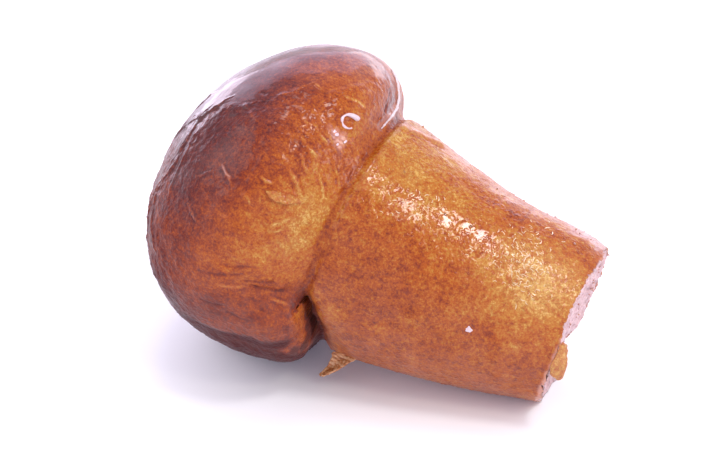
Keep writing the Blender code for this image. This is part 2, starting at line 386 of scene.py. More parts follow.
# folds, torn edges and wrinkles, each drawn through the photo's pixels; width and height in millimetres
shownFolds = (
    # the bundle of folds down the cap's far side
    ("ridge", 0.42, 0.50, ((237, 96), (222, 103), (203, 115), (193, 128), (183, 146), (176, 162), (165, 176),
                           (159, 191))),
    ("ridge", 0.36, 0.38, ((240, 101), (234, 95), (225, 100), (213, 109), (197, 121), (189, 136))),
    ("ridge", 0.36, 0.40, ((216, 100), (201, 115), (184, 127), (174, 139), (168, 153))),
    ("ridge", 0.40, 0.42, ((221, 89), (211, 94), (195, 110), (183, 122), (174, 136))),
    ("ridge", 0.42, 0.48, ((186, 144), (181, 154), (175, 164), (164, 178), (157, 191), (153, 207), (151, 224),
                           (153, 240), (155, 259))),
    ("ridge", 0.36, 0.40, ((166, 172), (158, 183), (151, 200), (148, 215), (147, 240), (151, 259))),
    ("ridge", 0.36, 0.34, ((203, 121), (193, 138), (186, 154), (177, 170), (170, 188), (166, 206))),
    ("ridge", 0.30, 0.22, ((186, 190), (188, 205), (194, 218), (204, 226))),
    ("ridge", 0.30, 0.22, ((195, 178), (207, 172), (216, 170))),
    ("crease", 0.40, 0.26, ((192, 128), (181, 146), (171, 162), (163, 176))),
    # torn skin on top of the cap
    ("ridge", 0.35, 0.20, ((242, 101), (249, 109), (255, 119), (259, 122))),
    ("lift", 1.20, 0.28, ((250, 103), (258, 100))),
    ("crease", 0.50, 0.25, ((259, 91), (264, 93), (268, 94))),
    ("lift", 1.60, 0.30, ((273, 96), (291, 93), (304, 86), (313, 83), (321, 89), (330, 94))),
    ("ridge", 0.35, 0.16, ((340, 92), (349, 98), (358, 101), (368, 111))),
    # the rolled lip of the cap's rim
    ("ridge", 1.10, 0.60, ((386, 56), (393, 68), (397, 82), (397, 98), (391.5, 113), (382, 127))),
    ("crease", 0.50, 0.30, ((391, 84), (390, 92), (386, 104), (381, 118), (377, 129))),
    # the skin pulled towards the neck
    ("ridge", 0.50, 0.46, ((286, 135), (299, 135), (305, 143), (311, 151), (319, 162))),
    ("ridge", 0.45, 0.42, ((288, 168), (296, 183), (302, 204))),
    ("lift", 2.20, 0.45, ((265, 191), (270, 197), (276, 201), (283, 202), (300, 202))),
    ("lift", 0.90, 0.30, ((243, 193), (248, 199), (250, 207))),
    ("ridge", 0.40, 0.36, ((220, 162), (225, 172), (229, 179), (234, 187))),
    ("ridge", 0.30, 0.20, ((298, 128), (309, 134))),
    ("ridge", 0.30, 0.20, ((303, 120), (309, 124))),
    ("ridge", 0.40, 0.30, ((315, 123), (317, 132), (322, 137), (330, 147))),
    ("ridge", 0.35, 0.20, ((327, 132), (332, 141), (334, 152))),
    ("ridge", 0.35, 0.18, ((268, 226), (280, 222), (292, 216))),
    ("ridge", 0.30, 0.16, ((258, 175), (266, 181), (275, 184))),
    ("ridge", 0.30, 0.16, ((272, 232), (284, 229))),
    ("ridge", 0.35, 0.16, ((300, 150), (303, 165), (309, 177))),
    ("ridge", 0.35, 0.16, ((318, 175), (322, 188), (323, 203))),
    ("ridge", 0.30, 0.14, ((332, 160), (338, 176), (339, 192))),
    # wrinkles above the furrow
    ("crease", 0.40, 0.24, ((190, 268), (204, 272), (220, 275), (238, 274), (250, 272))),
    ("crease", 0.40, 0.26, ((236, 279), (252, 281), (267, 282), (280, 281))),
    ("crease", 0.50, 0.50, ((244, 284), (258, 287), (275, 290), (292, 291))),
    ("crease", 0.40, 0.22, ((235, 295), (243, 297), (252, 299), (262, 303))),
    ("crease", 0.45, 0.40, ((254, 304), (264, 311), (274, 316))),
    ("crease", 0.40, 0.24, ((214, 263), (230, 266), (246, 266), (262, 268))),
    ("crease", 0.40, 0.20, ((222, 310), (240, 318), (256, 322))),
    ("crease", 0.40, 0.20, ((196, 296), (212, 304), (228, 306))),
    ("ridge", 0.35, 0.16, ((214, 284), (232, 287), (246, 286))),
    ("ridge", 0.35, 0.16, ((268, 298), (280, 301), (290, 306))),
    # torn skin along the top of the stem
    ("ridge", 0.70, 0.42, ((393, 125), (403, 129), (419, 134), (433, 141), (451, 151))),
    ("lift", 1.20, -0.35, ((400, 132), (416, 135), (425, 139), (437, 146), (449, 152))),
)
# torn skin that shows pale, the torn end's curled edge, pale partly as a painted highlight, and a painted
# highlight streak on the cap: half its width and its height in millimetres, then its middle line's pixels
paleTearsAndHighlights = (
    (1.10, 0.42, ((392, 122), (403, 127), (418, 132), (432, 139), (452, 150))),
    (0.70, 0.12, ((455, 154), (470, 165), (486, 178), (503, 189))),
    (0.30, 0.16, ((569, 316), (565, 328), (563, 340), (560, 352), (556, 361))),
    (0.20, 0.10, ((220, 161), (223, 167), (225, 173), (229, 176), (231, 181))),
)
# the glossy band inside the cap's rim, also painted paler as a sheen: half its width in millimetres, and its
# middle line's pixels
glossBand = {
    "width": 1.05,
    "pixels": ((384, 69), (388, 75), (391, 83), (393, 91), (393, 99), (391, 106), (388, 113), (384, 119),
               (378, 127)),
}
hiddenFolds = {
    "count": 60,
    "seed": 17,
    "turns": (152, 322),        # degrees
    "heights": (0.002, 0.040),  # metres, as the lengths are
    "lengths": (0.004, 0.013),
    "neckHeight": 0.016,        # below it the folds run towards the neck
    "step": 0.0003,
    "skinRadius": 0.037,
}


def lineSamples(pixels, spacing=0.8):
    # places on the smooth form along a line of pixels, closely spaced
    places = []
    for first, second in zip(pixels, pixels[1:]):
        steps = max(2, int(math.dist(first, second) / spacing))
        for step in range(steps):
            place, normal = seenPlace(*between(first, second, step / steps))
            if place is not None:
                places.append((place, normal))
    return places


def skinPlace(turn, height):
    # the point of the smooth form at this turn and height
    tilt = math.radians(cakePose["tilt"])
    turn = math.radians(turn)
    outward = Vector((math.sin(tilt) * math.cos(turn), -math.sin(turn), math.cos(tilt) * math.cos(turn)))
    middle = Vector(cakePose["seamMiddle"]) + Vector(axisDirection()) * height
    return smoothTree.ray_cast(middle, outward)[:2]


def hiddenLines():
    # folds like those that show, on the side that the photo doesn't show
    draw = random.Random(hiddenFolds["seed"])
    step = hiddenFolds["step"]
    lines = []
    for number in range(hiddenFolds["count"]):
        turn = draw.uniform(*hiddenFolds["turns"])
        height = draw.uniform(*hiddenFolds["heights"])
        way = draw.gauss(math.pi / 2, 0.6) if height < hiddenFolds["neckHeight"] else draw.uniform(0, math.pi)
        length = draw.uniform(*hiddenFolds["lengths"])
        bend = draw.uniform(-0.06, 0.06)
        places = []
        for point in range(int(length / step)):
            places.append(skinPlace(turn, height))
            turn += math.degrees(step * math.cos(way) / hiddenFolds["skinRadius"])
            height += step * math.sin(way)
            way += bend
        places = [pair for pair in places if pair[0] is not None]
        kind = draw.choice(("ridge", "ridge", "ridge", "crease", "lift"))
        lines.append((kind, draw.uniform(0.35, 0.60), draw.uniform(0.15, 0.32), places))
    return lines


foldLines = [(kind, width, height, lineSamples(pixels)) for kind, width, height, pixels in shownFolds]
foldLines += hiddenLines()
tearAndHighlightLines = [("ridge", width, height, lineSamples(pixels)) for width, height, pixels in paleTearsAndHighlights]


def lineRelief(points, line):
    # how far each point stands out, how near the line it is, and how near the strips of painted shadow along
    # a ridge
    kind, width, height, places = line
    width *= 0.001
    height *= 0.001
    out = np.zeros(len(points))
    nearness = np.zeros(len(points))
    beside = np.zeros(len(points))
    if len(places) < 3:
        return out, nearness, beside
    onLine = np.array([place for place, normal in places])
    # the line wanders a little and swells and thins, as a real fold does
    onLine += 0.00010 * np.column_stack([noiseAt(onLine, 0.0014, seed) for seed in (1.5, 2.5, 3.5)])
    reach = max(3 * width, 0.0015)
    picked = np.nonzero(nearLine(points, onLine, reach))[0]
    if len(picked) == 0:
        return out, nearness, beside
    gaps = points[picked][:, None, :] - onLine[None, :, :]
    nearest = np.argmin((gaps ** 2).sum(2), axis=1)
    offset = gaps[np.arange(len(picked)), nearest]
    distance = np.linalg.norm(offset, axis=1)
    ends = softStep(np.minimum(nearest, len(places) - 1 - nearest) / (0.25 * len(places)))
    ends = ends * (0.75 + 0.55 * noiseAt(onLine, 0.0022, 9.5))[nearest]
    if kind == "lift":
        normals = np.array([normal for place, normal in places])
        along = np.gradient(onLine, axis=0)
        along /= np.linalg.norm(along, axis=1)[:, None] + 1e-9
        side = (offset * np.cross(normals, along)[nearest]).sum(1)
        lifted = np.where(side > 0, np.exp(-side / width), bell(side, 0.00016))
        out[picked] = height * lifted * ends * (distance < 3 * width)
        nearness[picked] = bell(side - 0.0001, 0.00025) * ends * (distance < 3 * width)
    else:
        shape = bell(distance, width) * ends
        out[picked] = (-height if kind == "crease" else height) * shape
        nearness[picked] = shape
        beside[picked] = bell(distance - 2.1 * width, 0.8 * width) * ends
    return out, nearness, beside


# blisters in the skin, by pixel: radius, rim's width and height, and the dome's height in millimetres
blisters = (
    ((349, 121), 1.95, 0.45, 0.22, -0.15),
    ((194, 139), 1.20, 0.28, 0.26, 0.10),
    ((199, 159), 0.65, 0.22, 0.18, 0.05),
    ((183, 188), 0.60, 0.22, 0.14, 0.05),
)


def blisterRelief(points, blister):
    (x, y), radius, rimWidth, rimHeight, dome = blister
    place, normal = seenPlace(x, y)
    distance = np.linalg.norm(points - np.array(place), axis=1) * 1000
    rim = bell(distance - radius, rimWidth)
    return 0.001 * (rimHeight * rim + dome * softStep(1 - distance / radius))


# the cake's skin
skinSettings = {
    "voxel": 0.00084,            # metres; half as much where the photo shows the cake, a quarter beside folds
    "frontFacing": 0.03,
    "foldReach": 0.00062,
    "endPlane": -0.054,          # the torn end lies beyond this height
    "glitterZone": (31, 31, -0.053, -0.003),    # fine faces here: turn, half the width, lowest and highest
    "seamBlend": 0.0016,         # how gradually the cap's skin becomes the stem's
    "lipWidth": 0.0006,          # the crust's edge round the torn end
    "edgeZone": (-0.0552, -0.0535, 0.016),      # lowest, highest and smallest radius of the edge's points
    "endDepth": 0.0024,
    # the cap's tight, smooth skin lies above this line: turns, and heights over the seam in metres
    "sheenLine": ((-60, -30, 3, 17, 20, 28, 34, 46, 200, 300),
                  (0.006, 0.004, 0.008, 0.0122, 0.019, 0.0225, 0.036, 0.060, 0.060, 0.020)),
    "occlusionSeed": 3,
    "occlusionRays": 22,
    "occlusionReach": 0.012,
    "occlusionStart": 0.0003,
    "occlusionBand": 0.015,      # how far from the seam the cake can shade itself
}
# swells and crinkles of the skin: height and size in metres, seed and octaves
swells = {
    "cap": ((0.00018, 0.0038, 3.0, 2), (0.00030, 0.0095, 53.0, 1), (0.00009, 0.0013, 8.0, 2)),
    "stem": ((0.00010, 0.0030, 5.0, 2), (0.00006, 0.00095, 6.0, 1)),
    "end": ((0.00045, 0.0015, 51.0, 2),),
}
# where the crust is darker or lighter, from its baking and as painted shade and light: how much, middle turn
# and its width, middle height and its width
bakeAndShadePatches = {
    "cap": (                     # heights over the seam
        (0.24, -17, 13, 0.011, 0.008), (-0.07, 9, 13, 0.005, 0.008), (-0.25, 62, 19, 0.002, 0.0085),
        (-0.06, 78, 18, 0.018, 0.012), (-0.08, 80, 13, 0.015, 0.009), (-0.18, -95, 34, 0.004, 0.010),
        # the patch at turn 111 is painted shade on the lobe, low in front
        (0.24, 111, 24, 0.011, 0.018), (-0.26, 94, 20, 0.029, 0.012), (-0.10, 84, 24, 0.040, 0.010),
    ),
    "stem": (                    # heights from the seam's middle
        (-0.16, 2, 32, -0.008, 0.013), (0.07, 6, 9, -0.030, 0.022), (-0.30, 40, 27, -0.047, 0.012),
        (-0.10, 22, 26, -0.018, 0.018), (-0.10, -110, 40, -0.035, 0.015), (0.07, 75, 30, -0.012, 0.010),
        # painted light: the stem's flank beside the furrow lighter
        (-0.16, 101, 9, -0.004, 0.006),
    ),
}
# other soft patches: middle turn and its width, middle height and its width
skinPatches = {
    "streaks": (66, 38, 0.008, 0.011),
    "veins": (65, 40, 0.009, 0.012),
    "glitter": (34, 30, -0.043, 0.014),
    "gold": (34, 30, -0.049, 0.010),
    "wet": (36, 28, -0.036, 0.020),
}
# soft bands along the cake: middle turn and width
turnBands = {
    "underShade": (122, 44),
    "pinkFloorReflection": (122, 40),
    "lip": (-27, 9),
    "dull": (108, 24),
    "lowFrontShade": (108, 36),
}
# puddles of syrup on the stem and beside the seam, by pixel: radius in millimetres and strength
wetSpots = (
    ((445, 220), 1.9, 1.0), ((441, 212), 1.5, 0.8), ((468, 228), 1.6, 1.0), ((481, 235), 1.7, 1.0),
    ((419, 196), 1.6, 0.8), ((412, 203), 1.8, 0.6), ((403, 217), 1.5, 0.8), ((400, 209), 1.3, 0.6),
    ((404, 171), 1.4, 0.7), ((380, 154), 1.2, 1.0), ((372, 162), 1.3, 1.0), ((367, 169), 1.4, 1.0),
    ((363, 178), 1.4, 1.0), ((358, 187), 1.3, 0.9), ((468, 329), 0.9, 1.0), ((468, 258), 0.9, 0.7),
    ((524, 268), 1.2, 0.8), ((489, 246), 1.1, 0.8), ((505, 238), 1.2, 0.8), ((512, 260), 0.8, 0.8),
    ((519, 298), 0.9, 0.8), ((392, 205), 1.4, 0.6), ((331, 137), 2.0, 1.0), ((340, 142), 1.6, 1.0),
)
# painted shade on the lobe's underside, beside the furrow
lobeShadeSpots = (
    ((305, 316), 0.8, 0.40), ((307, 326), 1.1, 0.50), ((308, 336), 1.5, 0.55), ((304, 345), 1.6, 0.55),
    ((294, 351), 1.4, 0.45), ((290, 328), 1.6, 0.15),
)
# painted reflection: pale pink spots beside the ring of syrup
pinkReflectionSpots = (
    ((335, 133), 1.1, 0.9), ((342, 138), 1.5, 0.8), ((338, 144), 1.2, 0.9), ((329, 127), 0.8, 0.5),
)


def endEdge(points):
    # the radius of the torn end's edge, as a function of the turn
    turns, heights, radii = uprightPlaces(points)
    low, high, smallest = skinSettings["edgeZone"]
    ring = (heights > low) & (heights < high) & (radii > smallest)
    order = np.argsort(turns[ring])
    return turns[ring][order], radii[ring][order]


def nearFolds(middles, towardsCamera):
    # faces beside a fold that the photo shows
    near = np.zeros(len(middles), bool)
    shown = foldLines[:len(shownFolds)] + tearAndHighlightLines
    for kind, width, height, places in shown:
        onLine = np.array([place for place, normal in places[::2]])
        if len(onLine) == 0:
            continue
        reach = skinSettings["foldReach"]
        picked = np.nonzero(nearLine(middles, onLine, reach) & (towardsCamera > 0))[0]
        gaps = ((middles[picked][:, None, :] - onLine[None, :, :]) ** 2).sum(2)
        near[picked[gaps.min(1) < reach ** 2]] = True
    return near


def makeSkin():
    piece = copyOf(smoothCake, "cake")
    remesh(piece, skinSettings["voxel"])
    towards = np.array(cameraAxes()[2])
    middles, normals = readFaces(piece.data)
    heights = uprightPlaces(middles)[1]
    fine = (normals @ towards > skinSettings["frontFacing"]) | (heights < skinSettings["endPlane"])
    subdivide(piece, fine)
    middles, normals = readFaces(piece.data)
    finer = nearFolds(middles, normals @ towards)
    turns, heights = uprightPlaces(middles)[:2]
    middle, halfWidth, lowest, highest = skinSettings["glitterZone"]
    glitter = (np.abs(turnGap(turns, middle)) < halfWidth) & (heights > lowest) & (heights < highest)
    finer |= glitter & (normals @ towards > 0)
    subdivide(piece, finer)
    applyModifier(piece, "SHRINKWRAP", target=smoothCake, wrap_method="NEAREST_SURFACEPOINT")
    return piece


def swellsAt(points, layers):
    return sum(height * noiseAt(points, size, seed, octaves) for height, size, seed, octaves in layers)


def patchAt(turns, heights, turn, turnWidth, height, heightWidth):
    # 1 in the middle of a soft patch of the skin
    return bell(turnGap(turns, turn), turnWidth) * bell(heights - height, heightWidth)


def bandShare(turns, name):
    middle, width = turnBands[name]
    return bell(turnGap(turns, middle), width)


def patchesAt(turns, heights, patches):
    return sum(amount * patchAt(turns, heights, *patch) for amount, *patch in patches)


def skinRelief(skin):
    # swells, crinkles and pores all over the skin, in metres
    points = skin.points
    wander = noiseAt(points, 0.0030, 41.0, 2)
    patches = softStep(0.5 + 1.3 * noiseAt(points, 0.0090, 43.0))
    cap = swellsAt(points, swells["cap"]) + 0.00016 * bell(wander, 0.09) * patches
    cap *= 1 - 0.80 * skin.smooth
    streaks = noiseAt(squeezed(points, 5.0), 0.0011, 12.0)
    cap += 0.00026 * streaks * patchAt(skin.turns, skin.overSeam, *skinPatches["streaks"])
    glitter = patchAt(skin.turns, skin.heights, *skinPatches["glitter"])
    stem = swellsAt(points, swells["stem"]) + (0.00010 + 0.00007 * glitter) * rimsAt(points, 0.0017, 27.0)
    return cap * skin.capShare + stem * (1 - 0.7 * skin.puddles) * (1 - skin.capShare)


def spotsAt(points, spots):
    # ragged round spots, each at a pixel of the photo
    share = np.zeros(len(points))
    for (x, y), radius, strength in spots:
        place, normal = seenPlace(x, y)
        distance = np.linalg.norm(points - np.array(place), axis=1) * 1000
        near = distance < 3 * radius
        wobble = 0.35 * noiseAt(points[near], 0.0012, 77.0)
        share[near] = np.maximum(share[near], strength * softStep(1.5 - distance[near] / radius + wobble))
    return share


def bandAt(points, band):
    # 1 inside a band drawn through the photo's pixels
    onLine = np.array([place for place, normal in lineSamples(band["pixels"])])
    reach = 0.002 * band["width"]
    near = nearLine(points, onLine, reach)
    gaps = np.linalg.norm(points[near][:, None, :] - onLine[None, :, :], axis=2).min(1) * 1000
    share = np.zeros(len(points))
    share[near] = softStep((1.2 - gaps / band["width"]) / 0.30)
    return share


def occlusionAt(points, normals, wanted):
    # how much of the sky each wanted point loses to the cake itself
    draw = random.Random(skinSettings["occlusionSeed"])
    rays = [Vector((draw.gauss(0, 1), draw.gauss(0, 1), draw.gauss(0, 1))).normalized()
            for number in range(skinSettings["occlusionRays"])]
    hidden = np.zeros(len(points))
    for index in np.nonzero(wanted)[0]:
        normal = Vector(normals[index])
        start = Vector(points[index]) + normal * skinSettings["occlusionStart"]
        blocked = 0
        for ray in rays:
            way = (ray + normal * 1.02).normalized()
            blocked += smoothTree.ray_cast(start, way, skinSettings["occlusionReach"])[0] is not None
        hidden[index] = blocked / len(rays)
    return hidden


def grooveShare(turns):
    # 1 where the seam is a sharp line, down to where the furrow opens
    return shownShare(turns) * softStep((101 - turns) / 7)


def seamRelief(skin):
    # a sharp line in the seam, and the stem's shoulder beside it
    shoulder = 0.00030 * bell(skin.overSeam + 0.0023, 0.0014)
    return grooveShare(skin.turns) * (shoulder - 0.00034 * bell(skin.overSeam, 0.0008))


def bakeAndShadeAt(skin):
    # how dark the crust is: how far it is baked, with painted shade near the floor, low on the stem's front
    # and in the seam's groove; 0 pale gold, 1 nearly black
    points, turns = skin.points, skin.turns
    cap = 0.43 + 0.48 * softStep((skin.overSeam / cakePose["capHeight"] - 0.16) / 0.55)
    cap += patchesAt(turns, skin.overSeam, bakeAndShadePatches["cap"])
    veins = noiseAt(squeezed(points, 3.0), 0.0028, 19.0, 2)
    cap += 0.15 * veins * patchAt(turns, skin.overSeam, *skinPatches["veins"])
    # painted shade: the last term darkens the cap towards the floor
    cap += 0.10 * noiseAt(points, 0.010, 11.0, 3) + 0.32 * softStep((0.0180 - points[:, 2]) / 0.0150)
    stem = 0.37 + 0.07 * noiseAt(points, 0.007, 17.0, 2)
    stem += 0.06 * noiseAt(squeezed(points, 2.0), 0.0026, 37.0, 2)
    stem += patchesAt(turns, skin.heights, bakeAndShadePatches["stem"])
    # painted shade: the stem darker low in front
    stem += 0.07 * bandShare(turns, "lowFrontShade")
    # painted shade: a dark line in the seam's groove
    seam = 0.12 * bell(skin.overSeam, 0.0009) * grooveShare(turns)
    return cap * skin.capShare + stem * (1 - skin.capShare) + seam


def readSkin(mesh):
    # for each point: where it lies round the cake, and what part of the skin it is
    skin = SimpleNamespace(points=readPoints(mesh), normals=readNormals(mesh))
    skin.turns, skin.heights, skin.radii = uprightPlaces(skin.points)
    skin.overSeam = skin.heights - seamHeight(skin.turns)
    skin.capShare = softStep(skin.overSeam / skinSettings["seamBlend"] + 0.5)
    line = np.interp(skin.turns, *skinSettings["sheenLine"], period=360)
    fade = 0.0014 + 0.012 * softStep((np.abs(turnGap(skin.turns, -5)) - 50) / 25)
    wander = 0.0012 * noiseAt(skin.points, 0.006, 57.0)
    skin.smooth = softStep((skin.overSeam - line + wander) / fade) * skin.capShare
    besideSeam = np.abs(skin.overSeam) < skinSettings["occlusionBand"]
    skin.hidden = occlusionAt(skin.points, skin.normals, besideSeam)
    skin.puddles = spotsAt(skin.points, wetSpots)
    skin.gloss = bandAt(skin.points, glossBand)
    # the torn end, inside the crust's edge
    facing = -(skin.normals @ axisDirection())
    skin.endFacing = softStep((facing - 0.35) / 0.3) * (skin.heights < -0.050)
    edge = np.interp(skin.turns, *endEdge(skin.points), period=360)
    skin.inside = softStep((edge - skinSettings["lipWidth"] - skin.radii) / 0.0005) * skin.endFacing
    return skin


def foldRelief(skin):
    # how far folds, torn edges and blisters stand out; what lies on or beside them is kept for the masks
    skin.ridges = np.zeros(len(skin.points))
    skin.creases = np.zeros(len(skin.points))
    skin.tears = spotsAt(skin.points, pinkReflectionSpots) * (0.7 + 0.6 * noiseAt(skin.points, 0.0009, 73.0, 2))
    out = sum(blisterRelief(skin.points, blister) for blister in blisters)
    for line in foldLines:
        relief, nearness, beside = lineRelief(skin.points, line)
        out += relief
        if line[0] == "crease":
            skin.creases = np.maximum(skin.creases, nearness)
        else:
            skin.ridges = np.maximum(skin.ridges, nearness)
            # the strips beside a ridge hold painted shadow
            skin.creases = np.maximum(skin.creases, 0.55 * beside)
    for line in tearAndHighlightLines:
        relief, nearness, beside = lineRelief(skin.points, line)
        out += relief
        skin.tears = np.maximum(skin.tears, nearness)
    return out


def shapeSkin(piece):
    skin = readSkin(piece.data)
    out = skinRelief(skin) + seamRelief(skin) + foldRelief(skin)
    out *= 1 - 0.8 * softStep((skin.hidden - 0.35) / 0.3)
    out *= softStep(skin.points[:, 2] / 0.0012)
    # the torn end sinks inside the crust's edge, and the crumb fills it
    ragged = softStep((-skin.heights - 0.0535) / 0.0020) * (1 - skin.inside)
    inward = skinSettings["endDepth"] * skin.inside + swellsAt(skin.points, swells["end"]) * ragged
    shaped = skin.points + skin.normals * out[:, None] + np.outer(inward, axisDirection())
    shaped[:, 2] = np.maximum(shaped[:, 2], 0)
    writePoints(piece.data, shaped)
    paintSkin(piece.data, skin)


# where the masks change; heights are in metres and turns in degrees
maskSettings = {
    "underTop": 0.0214,          # over the floor, as dullTop is
    "dullTop": 0.0095,
    "furrowTurns": (90, 150),
    "neckEdge": 0.034,           # the skin pulled towards the neck ends this far over the seam
    "creaseShade": 0.26,
    "ridgePaleAndHighlight": 0.25,
    "tornTurn": -28,             # where the crust is torn off above the end, and from what height
    "tornHeight": -0.0450,
    "edgeHeight": -0.0563,
    "shownTurns": (38, 118),     # the photo shows about this turn, and so far to each side
}


def paintSkin(mesh, skin):
    # the masks that the crust's material reads
    points, turns, heights = skin.points, skin.turns, skin.heights
    overSeam, capShare = skin.overSeam, skin.capShare
    onStem = 1 - capShare
    # painted shade: the cap's underside in front darkened and dulled, up to a wavy line over the floor
    underShade = softStep((-skin.normals[:, 2] - 0.27) / 0.26) * bandShare(turns, "underShade") * capShare
    wavy = 0.0016 * noiseAt(points, 0.0075, 91.0, 2)
    underShade *= softStep((maskSettings["underTop"] - points[:, 2] + wavy) / 0.0035)

    first, last = maskSettings["furrowTurns"]
    furrow = softStep((turns - first) / 10) * softStep((last - turns) / 10)
    nearNeck = softStep((maskSettings["neckEdge"] - overSeam) / 0.012) * capShare
    bakeAndShade = bakeAndShadeAt(skin) + 0.62 * underShade + spotsAt(points, lobeShadeSpots) + 0.10 * skin.gloss
    # painted shade: darker where the cake hides the sky from itself, most in the furrow
    bakeAndShade += softStep(skin.hidden * 1.25) * (0.30 + 0.60 * furrow) * (0.1 + 0.9 * capShare)
    # painted shade in creases and beside ridges; ridges near the neck paler, partly paler skin and partly
    # painted highlight
    bakeAndShade += maskSettings["creaseShade"] * skin.creases - maskSettings["ridgePaleAndHighlight"] * skin.ridges * nearNeck

    # bare crumb inside the torn end and where the crust is torn off above it
    wobble = noiseAt(points, 0.0040, 23.0, 2)
    aside = np.abs(turnGap(turns, maskSettings["tornTurn"]))
    torn = softStep((maskSettings["tornHeight"] - heights + 0.0022 * wobble - 0.00012 * aside) / 0.0014)
    torn *= softStep((19 - aside + 5.5 * wobble) / 5) * (1 - skin.endFacing)

    # pale places: torn skin, the end's edge, the top of the stem, and beside the neck; part of this paleness
    # is painted sheen and reflection, as marked below
    lip = softStep((maskSettings["edgeHeight"] - heights) / 0.0008) * (1 - skin.inside)
    # painted sheen: the stem paler where its glints lie
    gold = 0.14 * patchAt(turns, heights, *skinPatches["gold"]) * onStem
    # the top of the stem paler: partly its own paler skin, partly painted sheen
    topPaleAndSheen = 0.55 * bell(turnGap(turns, -30), 19 + 5 * wobble) * onStem * softStep((-heights - 0.004) / 0.01)
    # painted sheen on the strip inside the cap's rim, near the seam
    rimSheenShare = bandShare(turns, "lip") * capShare * softStep((0.014 - overSeam) / 0.006)
    # painted reflection of the floor: a pink veil low in front, towards the neck
    pinkFloorReflection = bandShare(turns, "pinkFloorReflection") * (0.20 + 0.10 * noiseAt(points, 0.0032, 59.0, 2))
    pinkFloorReflection *= softStep((maskSettings["neckEdge"] - overSeam) / 0.014) * (1 - underShade)
    pale = np.maximum(np.maximum(skin.tears, lip), 0.24 * skin.gloss)
    pale = np.maximum(pale, np.maximum(topPaleAndSheen, gold) + 0.6 * pinkFloorReflection + 0.35 * rimSheenShare)

    # wet and dull skin, with puddles on the side that the photo doesn't show
    middle, reach = maskSettings["shownTurns"]
    farSide = softStep((np.abs(turnGap(turns, middle)) - reach) / 20)
    hiddenWet = softStep((noiseAt(points, 0.0050, 33.0, 2) - 0.30) / 0.3) * farSide
    dull = softStep((maskSettings["dullTop"] - points[:, 2]) / 0.005) * (0.2 + 0.8 * capShare)
    dull = np.maximum(dull, np.maximum(underShade, 0.8 * bandShare(turns, "dull") * capShare))
    wet = 0.55 + 0.45 * noiseAt(points, 0.0070, 31.0, 2)
    wet = np.maximum(wet, 0.9 * patchAt(turns, heights, *skinPatches["wet"]))

    masks = {
        "bakeAndShade": bakeAndShade,
        "capShare": capShare,
        "smooth": skin.smooth,
        "crumb": np.maximum(skin.inside, 0.75 * torn),
        "pale": pale,
        "ridge": skin.ridges,
        "wet": wet * (1 - dull),
        "puddle": np.maximum(skin.puddles, np.maximum(hiddenWet, skin.gloss)),
    }
    for name, values in masks.items():
        writeMask(mesh, name, values)


def closeLoop(piece):
    # close the open loop in the seam with a fan of faces, and keep the skin's shading apart from it
    activate(piece)
    bpy.ops.object.mode_set(mode="EDIT")
    bpy.ops.mesh.select_mode(type="EDGE")
    bpy.ops.mesh.select_all(action="DESELECT")
    bpy.ops.mesh.select_non_manifold()
    bpy.ops.mesh.mark_sharp()
    bpy.ops.mesh.edge_face_add()
    bpy.ops.mesh.poke()
    bpy.ops.object.mode_set(mode="OBJECT")


def splitAtSeam(piece):
    # the cap and the stem as two closed pieces that meet in the seam
    turns, heights = uprightPlaces(readFaces(piece.data)[0])[:2]
    overSeam = heights - seamHeight(turns)
    editFaces(piece, overSeam < 0, lambda: bpy.ops.mesh.separate(type="SELECTED"))
    lower = [part for part in bpy.context.selected_objects if part is not piece][0]
    lower.name = "stem"
    closeLoop(piece)
    closeLoop(lower)
    return lower


cake = makeSkin()
shapeSkin(cake)
stem = splitAtSeam(cake)
print("cap:", len(cake.data.polygons), "faces, stem:", len(stem.data.polygons), "faces")

# the open crumb at the torn end
crumbSettings = {
    "edge": -0.0535,            # the crumb lies beyond this height and this far inside the crust's edge
    "clear": 0.00048,
    "facing": -0.3,
    "depth": 0.0034,
    "sink": 0.00035,
    "voxel": 0.00032,
    "holes": ((0.0046, 0.0011, 61.0), (0.0022, 0.0007, 63.0), (0.0011, 0.0003, 67.0)),  # spacing, depth, seed
    "smallest": 0.20,           # the holes' size, as a share of their spacing
    "spread": 0.45,
    "lumps": ((0.00022, 0.0016, 71.0, 2),),
}


def makeEndCrumb():
    piece = copyOf(smoothCake, "endCrumb")
    middles, normals = readFaces(piece.data)
    turns, heights, radii = uprightPlaces(middles)
    edge = np.interp(turns, *endEdge(readPoints(piece.data)), period=360)
    axis = axisDirection()
    endFaces = (heights < crumbSettings["edge"]) & (radii < edge - crumbSettings["clear"])
    endFaces &= normals @ axis < crumbSettings["facing"]
    editFaces(piece, ~endFaces, lambda: bpy.ops.mesh.delete(type="FACE"))
    applyModifier(piece, "SOLIDIFY", thickness=crumbSettings["depth"], offset=-1)
    remesh(piece, crumbSettings["voxel"])
    mesh = piece.data
    points = readPoints(mesh)
    facing = softStep((-(readNormals(mesh) @ axis) - 0.2) / 0.4)
    holes = np.zeros(len(points))
    for spacing, depth, seed in crumbSettings["holes"]:
        pores = poresAt(points, spacing, seed, crumbSettings["smallest"], crumbSettings["spread"])
        holes = np.maximum(holes, depth * pores ** 0.6)
    inward = (crumbSettings["sink"] + holes + swellsAt(points, crumbSettings["lumps"])) * facing
    writePoints(mesh, points + np.outer(inward, axis))
    writeMask(mesh, "hole", holes / crumbSettings["holes"][0][1])
    return piece


endCrumb = makeEndCrumb()
print("end crumb:", len(endCrumb.data.polygons), "faces")

